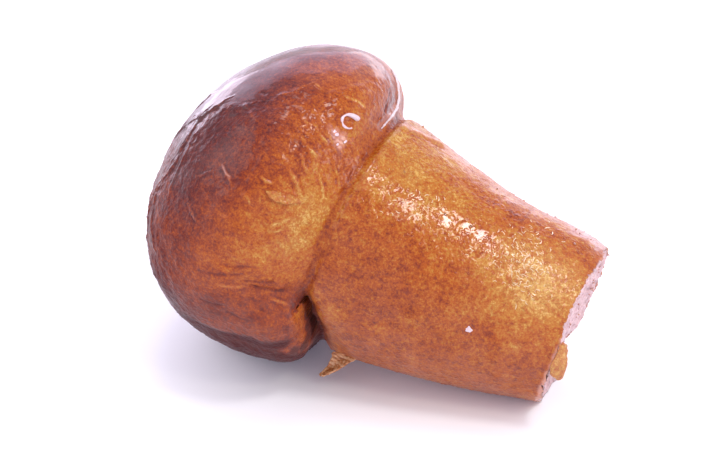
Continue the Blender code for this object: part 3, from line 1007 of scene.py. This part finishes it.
# thin torn pieces of crust: each row of pixels runs across the piece, from its start to its tip
neckFlakeSettings = {
    "plane": -0.0175,           # the flake stands up along this line, in metres of y
    "lean": 0.0022,             # its tip comes forward
    "wave": 0.0006,
    "thickness": 0.0006,
    "rows": (((331, 350), (357, 356)), ((331, 355), (355, 360)), ((330, 359), (348, 363.5)),
             ((327, 364), (341, 367.5)), ((324.5, 368), (335, 371)), ((321, 371), (328, 374.5)),
             ((317.5, 374.5), (322, 377))),
}
endFlapSettings = {
    "inset": 2.0,               # pixels from the first column to where the flap is fixed
    "curl": 0.0005,
    "bend": 0.0018,             # how far its free side turns back
    "thickness": 0.0009,
    "masks": (("bakeAndShade", 0.17), ("wet", 0.4), ("pale", 0.22)),
    "rows": (((562, 341), (564.5, 343)), ((559, 347), (566, 351)), ((556, 354), (566.5, 360)),
             ((552, 361), (565.5, 368)), ((549, 367), (563, 377)), ((550, 373), (556, 380))),
}

# a scale of skin that lifts along its lower edge: each row runs from the upper edge to the lower one
scaleSettings = {
    "above": 0.00016,
    "lift": 0.00075,
    "thickness": 0.00030,
    "rows": (((265, 190.5), (265.5, 192)), ((270, 190), (269.5, 197)), ((277, 190.5), (275, 201.5)),
             ((285, 192), (284, 203)), ((293, 195.5), (292.5, 203.2)), ((301, 200), (300.5, 202.5))),
    "masks": (("bakeAndShade", 0.26), ("capShare", 1.0), ("wet", 0.7), ("pale", 0.06)),
}


def patchFromRows(name, rows, placeOf, columns=5):
    # a grid whose corners follow the rows of pixels
    piece = addShape(bpy.ops.mesh.primitive_grid_add, x_subdivisions=columns, y_subdivisions=len(rows) - 1,
                     size=0.01)
    piece.name = name
    mesh = piece.data
    corners = sorted(mesh.vertices, key=lambda corner: (round(corner.co.y, 6), corner.co.x))
    for order, corner in enumerate(corners):
        row = order // (columns + 1)
        across = (order % (columns + 1)) / columns
        along = row / (len(rows) - 1)
        corner.co = placeOf(*between(*rows[row], across), across, along)
    mesh.update()
    return piece


def flakePlace(x, y, across, along):
    settings = neckFlakeSettings
    eye, look = photoRay(x, y)
    wave = settings["wave"] * math.sin(3.2 * across + 2 * along)
    plane = settings["plane"] - settings["lean"] * along + wave
    return eye + look * ((plane - eye.y) / look.y)


def flapPlace(x, y, across, along):
    # the flap hangs on the crust's edge and stands out from the torn end
    settings = endFlapSettings
    startX, startY = settings["rows"][round(along * (len(settings["rows"]) - 1))][0]
    place = seenPlace(startX - settings["inset"], startY)[0]
    eye, look = photoRay(x, y)
    curl = settings["curl"] * math.sin(math.pi * across) - settings["bend"] * across ** 2
    return eye + look * ((place - eye).dot(look) - curl)


def finishFlake(piece, thickness, seed):
    # a wall, a smooth form, and then fibres along the cake's length
    applyModifier(piece, "SOLIDIFY", thickness=thickness, offset=0)
    activate(piece)
    bpy.ops.object.mode_set(mode="EDIT")
    bpy.ops.mesh.select_all(action="SELECT")
    bpy.ops.mesh.normals_make_consistent(inside=False)
    bpy.ops.object.mode_set(mode="OBJECT")
    applyModifier(piece, "SUBSURF", levels=3, render_levels=3)
    mesh = piece.data
    points = readPoints(mesh)
    fibres = noiseAt(squeezed(points, 3.0), 0.0006, seed, 2)
    lumps = noiseAt(points, 0.0016, seed + 4, 2)
    points += readNormals(mesh) * (0.00012 * fibres + 0.00018 * lumps)[:, None]
    points[:, 2] = np.maximum(points[:, 2], 0.0001)
    writePoints(mesh, points)
    writeMask(mesh, "fibre", 0.5 + 0.5 * fibres)


def scalePlace(x, y, across, along):
    place, normal = seenPlace(x, y)
    lift = scaleSettings["lift"] * math.sin(math.pi * min(1.0, along + 0.1)) * across ** 1.5
    return place + normal * (lift + scaleSettings["above"])


neckFlake = patchFromRows("neckFlake", neckFlakeSettings["rows"], flakePlace)
finishFlake(neckFlake, neckFlakeSettings["thickness"], 81.0)
endFlap = patchFromRows("endFlap", endFlapSettings["rows"], flapPlace)
finishFlake(endFlap, endFlapSettings["thickness"], 91.0)
writeMasks(endFlap.data, endFlapSettings["masks"])
skinScale = patchFromRows("skinScale", scaleSettings["rows"], scalePlace)
finishFlake(skinScale, scaleSettings["thickness"], 97.0)
writeMasks(skinScale.data, scaleSettings["masks"])
print("flakes:", sum(len(flake.data.polygons) for flake in (neckFlake, endFlap, skinScale)), "faces")

# syrup standing on the skin: one open ring and a few drops, by pixel and by radius in millimetres
ringSettings = {
    "pixel": (349, 121),
    "radius": 0.00190,
    "tube": 0.00058,
    "stretch": (1.16, 0.80),
    "opening": -30,             # degrees round the ring, as the thick side is
    "thickSide": 50,
    "rise": 0.00004,
    "sunk": 0.0009,             # how deep the ring's ends lie beside its opening
    # painted glints: pale froth beside the ring and lower on the stem, by pixel and by radius in millimetres
    "glintFroth": (((334, 131), 0.50), ((336, 134), 0.42), ((345, 141), 0.40), ((337, 144), 0.34),
              ((468, 329), 0.66)),
    "frothFlatness": 0.18,
    "frothLumps": 0.9,
}
dropSettings = {
    "shown": (((374, 104), 0.42), ((381, 90), 0.38), ((445, 214), 0.40), ((470, 226), 0.45),
              ((363, 177), 0.40), ((404, 171), 0.35)),
    "hidden": 16,
    "hiddenTurns": (190, 320),
    "hiddenHeights": (-0.045, 0.025),
    "hiddenRadii": (0.0003, 0.0006),
    "seed": 5,
    "flatness": 0.42,
}


def addBead(place, normal, radius, flatness):
    # a flattened drop, half sunk in the skin
    turn = normal.to_track_quat("Z", "Y").to_euler()
    bead = addShape(bpy.ops.mesh.primitive_ico_sphere_add, subdivisions=3, radius=radius, location=place,
                    rotation=turn)
    bead.scale = (1.0, 0.85, flatness)
    bpy.ops.object.transform_apply(location=True, rotation=True, scale=True)
    return bead


def makeDrops():
    draw = random.Random(dropSettings["seed"])
    beads = []
    for (x, y), radius in dropSettings["shown"]:
        place, normal = seenPlace(x, y)
        beads.append(addBead(place, normal, radius * 0.001, dropSettings["flatness"]))
    for number in range(dropSettings["hidden"]):
        place, normal = skinPlace(draw.uniform(*dropSettings["hiddenTurns"]),
                                  draw.uniform(*dropSettings["hiddenHeights"]))
        radius = draw.uniform(*dropSettings["hiddenRadii"])
        beads.append(addBead(place, normal, radius, dropSettings["flatness"]))
    return joinPieces("syrupDrops", beads)


def makeRing():
    # a ring of syrup round a burst bubble, thick on one side and open on the other; its pale colour, thickest
    # on that side, is partly a painted highlight
    place, normal = seenPlace(*ringSettings["pixel"])
    ring = addShape(bpy.ops.mesh.primitive_torus_add, major_segments=56, minor_segments=14,
                    major_radius=ringSettings["radius"], minor_radius=ringSettings["tube"])
    ring.name = "syrupRing"
    right, up, back = cameraAxes()
    across = (right - normal * right.dot(normal)).normalized()
    upward = normal.cross(across)
    for vertex in ring.data.vertices:
        angle = math.atan2(vertex.co.y, vertex.co.x)
        middle = Vector((math.cos(angle), math.sin(angle), 0)) * ringSettings["radius"]
        gap = turnGap(math.degrees(angle), ringSettings["opening"])
        thickness = 0.50 + 0.85 * bell(math.degrees(angle) - ringSettings["thickSide"], 46)
        thickness += 0.12 * math.sin(5 * angle)
        thickness *= 1 - math.exp(-((gap / 34) ** 4))
        local = middle + (vertex.co - middle) * max(0.06, thickness)
        local *= 1 + 0.05 * math.sin(3 * angle + 1)
        local.x *= ringSettings["stretch"][0]
        local.y *= ringSettings["stretch"][1]
        rise = ringSettings["rise"] - ringSettings["sunk"] * math.exp(-((gap / 36) ** 4))
        vertex.co = place + across * local.x + upward * local.y + normal * (local.z * 0.8 + rise)
    ring.data.update()
    glintFroth = [ring]
    for (x, y), radius in ringSettings["glintFroth"]:
        place, normal = seenPlace(x, y)
        bead = addBead(place, normal, radius * 0.001, ringSettings["frothFlatness"])
        points = readPoints(bead.data)
        lumps = ringSettings["frothLumps"] * noiseAt(points, 0.0007, 87.0, 2)
        points += (points - np.array(place)) * lumps[:, None]
        writePoints(bead.data, points)
        glintFroth.append(bead)
    return joinPieces("syrupRing", glintFroth)


# a painted highlight: a thin pale line along the cap's rim, made like syrup; each row runs across it
rimHighlightSettings = {
    "above": 0.00012,
    "thickness": 0.00026,
    "rows": (((390.3, 68.6), (391.0, 68.2)), ((392.4, 73.4), (393.9, 72.6)),
             ((395.2, 80.3), (397.0, 79.7)), ((396.9, 88.1), (398.7, 87.9)),
             ((397.2, 96), (399.0, 96)), ((396.2, 103.7), (398.0, 104.3)),
             ((393.4, 110.4), (395.1, 111.6)), ((389.3, 116.3), (390.8, 117.7)),
             ((384.5, 122.4), (385.6, 123.6)), ((379.7, 128.1), (380.3, 128.9))),
}


def rimHighlightPlace(x, y, across, along):
    # on the finished skin, folds and all
    place, normal = capTree.ray_cast(*photoRay(x, y))[:2]
    return place + normal * rimHighlightSettings["above"]


syrupDrops = makeDrops()
capTree = treeOf(cake)
rimHighlightLine = patchFromRows("rimHighlightLine", rimHighlightSettings["rows"], rimHighlightPlace)
finishFlake(rimHighlightLine, rimHighlightSettings["thickness"], 85.0)
syrupRing = makeRing()
print("syrup:", sum(len(syrup.data.polygons) for syrup in (syrupDrops, rimHighlightLine, syrupRing)), "faces")

# fine curls of syrup that glitter on the stem
curlSettings = {
    "seed": 21,
    # radius and tube in millimetres, and half the turn in radians
    "shapes": ((0.55, 0.11, 1.2), (0.80, 0.13, 0.9), (0.42, 0.10, 1.5), (1.10, 0.12, 0.6)),
    "flatness": 0.7,
    # middle of each patch by pixel, its spread in pixels, and how many curls it has
    "patches": (((525, 270), (12, 16), 104), ((520, 234), (19, 6), 34), ((503, 256), (13, 11), 28),
                ((401, 209), (10, 9), 18), ((419, 196), (12, 7), 16), ((462, 236), (12, 8), 8)),
    "sizes": (0.55, 1.05),
    "end": -0.0545,             # no curls beyond this height
}


def joinCopies(name, shapes, copies):
    # one piece from all the copies; the shapes that they were made from go
    for shape in shapes:
        bpy.data.objects.remove(shape)
    piece = joinPieces(name, copies)
    activate(piece)
    bpy.ops.object.transform_apply(location=True, rotation=True, scale=True)
    return piece


def makeCurlShapes():
    # spindles bent along an arc, in millimetres
    shapes = []
    for radius, tube, halfTurn in curlSettings["shapes"]:
        shape = addShape(bpy.ops.mesh.primitive_uv_sphere_add, segments=6, ring_count=8, radius=1)
        for vertex in shape.data.vertices:
            angle = vertex.co.z * halfTurn
            reach = radius + vertex.co.x * tube
            height = vertex.co.y * tube * curlSettings["flatness"]
            vertex.co = (reach * math.cos(angle) - radius, reach * math.sin(angle), height)
        shapes.append(shape)
    return shapes


def makeCurls():
    draw = random.Random(curlSettings["seed"])
    shapes = makeCurlShapes()
    curls = []
    for (x, y), (wide, tall), count in curlSettings["patches"]:
        for number in range(count):
            eye, look = photoRay(draw.gauss(x, wide), draw.gauss(y, tall))
            place, normal = stemTree.ray_cast(eye, look)[:2]
            if place is None or uprightPlaces(np.array([place]))[1][0] < curlSettings["end"]:
                continue
            curl = copyOf(draw.choice(shapes), "curl")
            curl.location = place
            curl.rotation_mode = "QUATERNION"
            spin = Quaternion((0, 0, 1), draw.uniform(0, 6.28))
            curl.rotation_quaternion = normal.to_track_quat("Z", "Y") @ spin
            curl.scale = [0.001 * draw.uniform(*curlSettings["sizes"])] * 3
            curls.append(curl)
    return joinCopies("syrupCurls", shapes, curls)


stemTree = treeOf(stem)
syrupCurls = makeCurls()
print("curls:", len(syrupCurls.data.polygons), "faces")

# crumbs that cling to the torn places
crumbBits = {
    "seed": 9,
    "shapes": 4,
    "count": 46,
    "lumps": 0.45,
    # turns and heights of the bits along the top of the stem, one in three, and round the torn end
    "topZone": ((-50, -14), (-0.054, -0.004)),
    "endZone": ((100, 340), (-0.0570, -0.0560)),
    "sizes": (0.00015, 0.00036),
    "masks": (("bakeAndShade", 0.16), ("wet", 0.3), ("crumb", 0.65)),
}


def makeCrumbs():
    draw = random.Random(crumbBits["seed"])
    shapes = []
    for number in range(crumbBits["shapes"]):
        shape = addShape(bpy.ops.mesh.primitive_ico_sphere_add, subdivisions=2, radius=1)
        points = readPoints(shape.data)
        points *= (1 + crumbBits["lumps"] * noiseAt(points, 0.9, 3.0 * number + 1, 2))[:, None]
        writePoints(shape.data, points)
        shapes.append(shape)
    bits = []
    for number in range(crumbBits["count"]):
        bit = copyOf(draw.choice(shapes), "bit")
        turns, heights = crumbBits["topZone"] if number % 3 == 0 else crumbBits["endZone"]
        place, normal = skinPlace(draw.uniform(*turns), draw.uniform(*heights))
        if place is None:
            place, normal = skinPlace(0, -0.050)
        size = draw.uniform(*crumbBits["sizes"])
        bit.location = place + normal * size * 0.3
        bit.scale = (size, size * draw.uniform(0.6, 1), size * draw.uniform(0.5, 0.9))
        bit.rotation_euler = (draw.uniform(0, 6), draw.uniform(0, 6), draw.uniform(0, 6))
        bits.append(bit)
    return joinCopies("crumbs", shapes, bits)


crumbs = makeCrumbs()
writeMasks(crumbs.data, crumbBits["masks"])
print("crumbs:", len(crumbs.data.polygons), "faces")


# small helpers for materials
def setInputs(tree, node, values):
    # sockets are linked, and plain values are set
    for name, value in values.items():
        if isinstance(value, bpy.types.NodeSocket):
            tree.links.new(value, node.inputs[name])
        else:
            node.inputs[name].default_value = value


def addNode(tree, kind, values, **options):
    node = tree.nodes.new("ShaderNode" + kind)
    for name, option in options.items():
        setattr(node, name, option)
    setInputs(tree, node, values)
    return node


def newMaterial(name, values):
    material = bpy.data.materials.new(name)
    material.use_nodes = True
    surface = material.node_tree.nodes["Principled BSDF"]
    setInputs(material.node_tree, surface, values)
    return material, material.node_tree, surface


def addPlace(tree):
    return addNode(tree, "TexCoord", {}).outputs["Object"]


def addNoise(tree, coordinates, size, detail, roughness=0.5):
    values = {"Vector": coordinates, "Scale": 1 / size, "Detail": detail, "Roughness": roughness}
    return addNode(tree, "TexNoise", values).outputs["Fac"]


def addMath(tree, operation, *values):
    return addNode(tree, "Math", dict(enumerate(values)), operation=operation).outputs[0]


def addLayers(tree, start, layers):
    # each layer is a pattern and how much of it comes on top
    for pattern, share in layers:
        start = addMath(tree, "MULTIPLY_ADD", pattern, share, start)
    return start


def addMask(tree, name):
    return addNode(tree, "Attribute", {}, attribute_name=name).outputs["Fac"]


def addMix(tree, share, first, second):
    return addNode(tree, "Mix", {0: share, 6: first, 7: second}, data_type="RGBA").outputs[2]


def addRamp(tree, factor, stops):
    ramp = addNode(tree, "ValToRGB", {"Fac": factor})
    elements = ramp.color_ramp.elements
    while len(elements) > 1:
        elements.remove(elements[-1])
    elements[0].position, elements[0].color = stops[0]
    for position, colour in stops[1:]:
        elements.new(position).color = colour
    return ramp.outputs["Color"]


def addBump(tree, height, strength, distance):
    values = {"Height": height, "Strength": strength, "Distance": distance}
    return addNode(tree, "Bump", values).outputs["Normal"]


# floor, light and world
studio = {
    "floorSize": 6.0,
    "floor": {
        "Base Color": (0.92, 0.95, 0.96, 1.0),
        "Roughness": 0.7,
        # a faint blue glow: painted light that lifts and tints the floor's shadows
        "Emission Color": (0.60, 0.58, 1.0, 1.0),
        "Emission Strength": 0.06,
    },
    "worldColour": (0.95, 0.89, 1.0, 1.0),
    "horizonStrength": 1.30,
    "ceilingStrength": 0.90,
    "aim": (0.0, 0.0, 0.03),
}
softBoxes = {
    # azimuth, elevation, distance, width, height, brightness, colour
    "keyBox": (76, 60, 0.60, 0.115, 0.10, 26.0, (1.0, 0.97, 0.96)),
    "lowKeyBox": (60, 46, 0.60, 0.09, 0.09, 16.0, (1.0, 0.92, 0.76)),
    "backBox": (-152, 30, 0.90, 1.00, 0.60, 1.5, (0.86, 0.70, 1.0)),
    "topBox": (-120, 82, 0.80, 0.16, 0.16, 9.0, (1.0, 0.97, 0.97)),
    "sideBox": (99, 11, 0.90, 0.26, 0.22, 5.0, (1.0, 0.94, 1.0)),
    "rimBox": (176, 6, 0.90, 0.60, 0.16, 2.2, (0.93, 0.88, 1.0)),
    "fillBox": (-58, 38, 1.10, 0.90, 0.70, 1.60, (1.0, 0.96, 0.99)),
    "leftBox": (-124, 6, 0.90, 0.50, 0.24, 5.0, (0.90, 0.80, 1.0)),
}


def addFloor():
    floor = addShape(bpy.ops.mesh.primitive_plane_add, size=studio["floorSize"], location=(0, 0, 0))
    floor.name = "floor"
    floor.data.materials.append(newMaterial("floorPaint", studio["floor"])[0])


def addSoftBox(name, azimuth, elevation, distance, width, height, brightness, colour):
    lamp = bpy.data.lights.new(name, "AREA")
    lamp.shape = "RECTANGLE"
    lamp.size = width
    lamp.size_y = height
    lamp.energy = math.pi * width * height * brightness
    lamp.color = colour
    light = bpy.data.objects.new(name, lamp)
    bpy.context.scene.collection.objects.link(light)
    towards = directionAt(azimuth, elevation)
    light.location = Vector(studio["aim"]) + towards * distance
    turnBack(light, towards)


def addWorld():
    world = bpy.data.worlds.new("studio")
    bpy.context.scene.world = world
    world.use_nodes = True
    tree = world.node_tree
    around = addNode(tree, "TexCoord", {}).outputs["Generated"]
    upward = addNode(tree, "SeparateXYZ", {0: around}).outputs["Z"]
    fade = addNode(tree, "MapRange", {
        "Value": upward,
        "From Min": 0.0,
        "From Max": 0.8,
        "To Min": studio["horizonStrength"],
        "To Max": studio["ceilingStrength"],
    }).outputs["Result"]
    setInputs(tree, tree.nodes["Background"], {"Color": studio["worldColour"], "Strength": fade})
    bpy.context.scene.view_settings.view_transform = "Standard"


addFloor()
for boxName, boxValues in softBoxes.items():
    addSoftBox(boxName, *boxValues)
addWorld()
print("studio set")


# open pores: a mask that is 1 in the middle of a pore, and a height
poreSettings = {
    "warpScale": 700,
    "warp": 0.0011,
    "edge": 1.9,                # a pore's radius is 1 / this of the pattern's size
    "rimAt": 0.45,              # the raised rim's place in the mask, and how sharp and how high it is
    "rimSharpness": -9.0,
    "rimHeight": 0.22,
    "fineSize": 0.0008,
    "fineHeight": 0.25,
}


def makePoreGroup():
    group = bpy.data.node_groups.new("pores", "ShaderNodeTree")
    for name, side, kind in (("Vector", "INPUT", "Vector"), ("Size", "INPUT", "Float"),
                             ("Pore", "OUTPUT", "Float"), ("Height", "OUTPUT", "Float")):
        group.interface.new_socket(name=name, in_out=side, socket_type="NodeSocket" + kind)
    start = group.nodes.new("NodeGroupInput")
    end = group.nodes.new("NodeGroupOutput")
    place = start.outputs["Vector"]
    warp = addNode(group, "TexNoise", {"Vector": place, "Scale": poreSettings["warpScale"]}).outputs["Color"]
    shifted = addNode(group, "VectorMath", {0: warp, 1: (poreSettings["warp"],) * 3, 2: place},
                      operation="MULTIPLY_ADD").outputs[0]
    scale = addMath(group, "DIVIDE", 1.0, start.outputs["Size"])
    cells = addNode(group, "TexVoronoi", {"Vector": shifted, "Scale": scale}, feature="F1")
    reach = addMath(group, "MULTIPLY", cells.outputs["Distance"], poreSettings["edge"])
    pore = addMath(group, "MAXIMUM", addMath(group, "SUBTRACT", 1.0, reach), 0.0)
    gap = addMath(group, "SUBTRACT", pore, poreSettings["rimAt"])
    rim = addMath(group, "MULTIPLY", addMath(group, "MULTIPLY", gap, gap), poreSettings["rimSharpness"])
    rim = addMath(group, "MAXIMUM", addMath(group, "ADD", rim, 1.0), 0.0)
    rim = addMath(group, "MULTIPLY", rim, rim)
    fine = addNoise(group, place, poreSettings["fineSize"], 1)
    fine = addMath(group, "MULTIPLY", fine, poreSettings["fineHeight"])
    height = addMath(group, "MULTIPLY_ADD", rim, poreSettings["rimHeight"], fine)
    setInputs(group, end, {"Pore": pore, "Height": height})
    return group


poreGroup = makePoreGroup()


def addPores(tree, coordinates, size):
    node = addNode(tree, "Group", {}, node_tree=poreGroup)
    setInputs(tree, node, {"Vector": coordinates, "Size": size})
    return node.outputs["Pore"], node.outputs["Height"]


# what the crust looks like, from pale gold to nearly black
crustSettings = {
    "colours": (
        (0.00, (0.58, 0.36, 0.100, 1)),
        (0.20, (0.425, 0.176, 0.026, 1)),
        (0.40, (0.368, 0.081, 0.007, 1)),
        (0.60, (0.225, 0.034, 0.007, 1)),
        (0.80, (0.112, 0.013, 0.009, 1)),
        (1.00, (0.060, 0.007, 0.008, 1)),
    ),
    "crumb": ((0.36, 0.17, 0.16, 1), (0.71, 0.52, 0.54, 1)),
    "pale": (0.66, 0.36, 0.29, 1),
    "surface": {
        "Specular IOR Level": 0.14,
        "IOR": 1.45,
        "Coat Roughness": 0.09,
        "Coat IOR": 1.45,
        "Subsurface Weight": 0.10,
        "Subsurface Radius": (1.0, 0.30, 0.10),
        "Subsurface Scale": 0.0010,
    },
    # pattern sizes, details and roughnesses
    "mottle": (0.0022, 3),
    "grain": (0.0008, 4, 0.7),
    "specks": (0.00042, 2, 0.6),
    "crinkle": (0.0016, 2),
    "pores": 0.0017,
    "bakeShift": 0.82,
    "bump": 0.00052,
}


def makeCrust():
    material, tree, surface = newMaterial("crust", crustSettings["surface"])
    place = addPlace(tree)
    onStem = addMath(tree, "SUBTRACT", 1.0, addMask(tree, "capShare"))
    smooth = addMask(tree, "smooth")
    wet = addMask(tree, "wet")
    mottle = addNoise(tree, place, *crustSettings["mottle"])
    grain = addNoise(tree, place, *crustSettings["grain"])
    specks = addNoise(tree, place, *crustSettings["specks"])
    pore, poreHeight = addPores(tree, place, crustSettings["pores"])
    stemPore = addMath(tree, "MULTIPLY", pore, onStem)
    layers = ((mottle, 0.28), (grain, 0.85), (stemPore, 0.12), (specks, 0.55))
    bakeAndShade = addLayers(tree, addMask(tree, "bakeAndShade"), layers)
    bakeAndShade = addMath(tree, "SUBTRACT", bakeAndShade, crustSettings["bakeShift"])
    colour = addRamp(tree, bakeAndShade, crustSettings["colours"])
    crumbColour = addMix(tree, grain, *crustSettings["crumb"])
    colour = addMix(tree, addMask(tree, "crumb"), colour, crumbColour)
    # the pale mask holds pale torn skin and edges, and painted sheen and reflection
    uneven = addMath(tree, "MULTIPLY_ADD", grain, 1.1, 0.15)
    paleShare = addMath(tree, "MULTIPLY", addMask(tree, "pale"), uneven)
    colour = addMix(tree, paleShare, colour, crustSettings["pale"])
    coat = addLayers(tree, 0.06, ((wet, 0.58), (addMask(tree, "ridge"), 0.40), (smooth, 0.25)))
    crinkle = addNoise(tree, place, *crustSettings["crinkle"])
    capHeight = addMath(tree, "MULTIPLY", crinkle, addMath(tree, "MULTIPLY_ADD", smooth, -0.9, 1.0))
    stemHeight = addMath(tree, "SUBTRACT", poreHeight, capHeight)
    height = addMath(tree, "MULTIPLY_ADD", stemHeight, onStem, capHeight)
    setInputs(tree, surface, {
        "Base Color": colour,
        "Roughness": addMath(tree, "MULTIPLY_ADD", wet, -0.12, 0.46),
        "Coat Weight": addMath(tree, "MAXIMUM", coat, addMask(tree, "puddle")),
        "Normal": addBump(tree, height, 1.0, crustSettings["bump"]),
    })
    return material


# the open crumb at the torn end
openCrumb = {
    "surface": {
        "Roughness": 0.42,
        "Subsurface Weight": 0.25,
        "Subsurface Radius": (1.0, 0.45, 0.30),
        "Subsurface Scale": 0.0015,
    },
    "grain": (0.0009, 4, 0.6),
    "pores": 0.0007,
    "bump": (0.8, 0.00025),
}


def makeCrumbMaterial():
    material, tree, surface = newMaterial("crumb", openCrumb["surface"])
    place = addPlace(tree)
    grain = addNoise(tree, place, *openCrumb["grain"])
    pore, poreHeight = addPores(tree, place, openCrumb["pores"])
    # painted shade: the crumb darker in its holes and pores
    share = addLayers(tree, grain, ((addMask(tree, "hole"), -0.45), (pore, -0.30)))
    share = addMath(tree, "ADD", share, 0.25)
    setInputs(tree, surface, {
        "Base Color": addMix(tree, share, *crustSettings["crumb"]),
        "Normal": addBump(tree, poreHeight, *openCrumb["bump"]),
    })
    return material


# torn crust, paler along its fibres
flakeLooks = {
    "surface": {
        "Roughness": 0.36,
        "Specular IOR Level": 0.25,
        "Coat Weight": 0.3,
        "Coat Roughness": 0.12,
    },
    "colours": (
        (0.40, (0.24, 0.065, 0.022, 1)),
        (0.70, (0.44, 0.16, 0.050, 1)),
        (0.95, (0.64, 0.36, 0.19, 1)),
    ),
    "grain": (0.0007, 3, 0.6),
    "bump": (0.7, 0.0002),
}


def makeFlakeMaterial():
    material, tree, surface = newMaterial("tornCrust", flakeLooks["surface"])
    grain = addNoise(tree, addPlace(tree), *flakeLooks["grain"])
    share = addMath(tree, "MULTIPLY_ADD", grain, 0.6, addMask(tree, "fibre"))
    setInputs(tree, surface, {
        "Base Color": addRamp(tree, share, flakeLooks["colours"]),
        "Normal": addBump(tree, grain, *flakeLooks["bump"]),
    })
    return material


# syrup in four colours, each with how much light it lets through; the rim's glaze and the pale froth are
# painted highlights
syrupLooks = {
    "clearSyrup": ((1.0, 0.80, 0.55, 1.0), 0.9),
    "goldenSyrup": ((0.90, 0.68, 0.42, 1.0), 0.25),
    "rimHighlightGlaze": ((0.97, 0.82, 0.85, 1.0), 0.32),
    "paleGlintSyrup": ((0.93, 0.76, 0.83, 1.0), 0.25),
}


def makeSyrup(name):
    colour, transmission = syrupLooks[name]
    values = {"Roughness": 0.06, "IOR": 1.42, "Transmission Weight": transmission}
    material, tree, surface = newMaterial(name, values)
    ripple = addNoise(tree, addPlace(tree), 0.0009, 2)
    deeper = tuple(0.85 * channel for channel in colour[:3]) + (1.0,)
    setInputs(tree, surface, {
        "Base Color": addMix(tree, ripple, colour, deeper),
        "Normal": addBump(tree, ripple, 0.25, 0.0001),
    })
    return material


crust = makeCrust()
tornCrust = makeFlakeMaterial()
dressing = {
    cake: crust,
    stem: crust,
    endCrumb: makeCrumbMaterial(),
    neckFlake: tornCrust,
    endFlap: crust,
    skinScale: crust,
    syrupDrops: makeSyrup("clearSyrup"),
    syrupRing: makeSyrup("paleGlintSyrup"),
    rimHighlightLine: makeSyrup("rimHighlightGlaze"),
    syrupCurls: makeSyrup("goldenSyrup"),
    crumbs: crust,
}
for piece, material in dressing.items():
    piece.data.materials.clear()
    piece.data.materials.append(material)
    activate(piece)
    bpy.ops.object.shade_smooth()
    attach(piece, "root")
    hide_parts("rum_baba")
bpy.data.objects.remove(smoothCake)
print("pieces dressed")
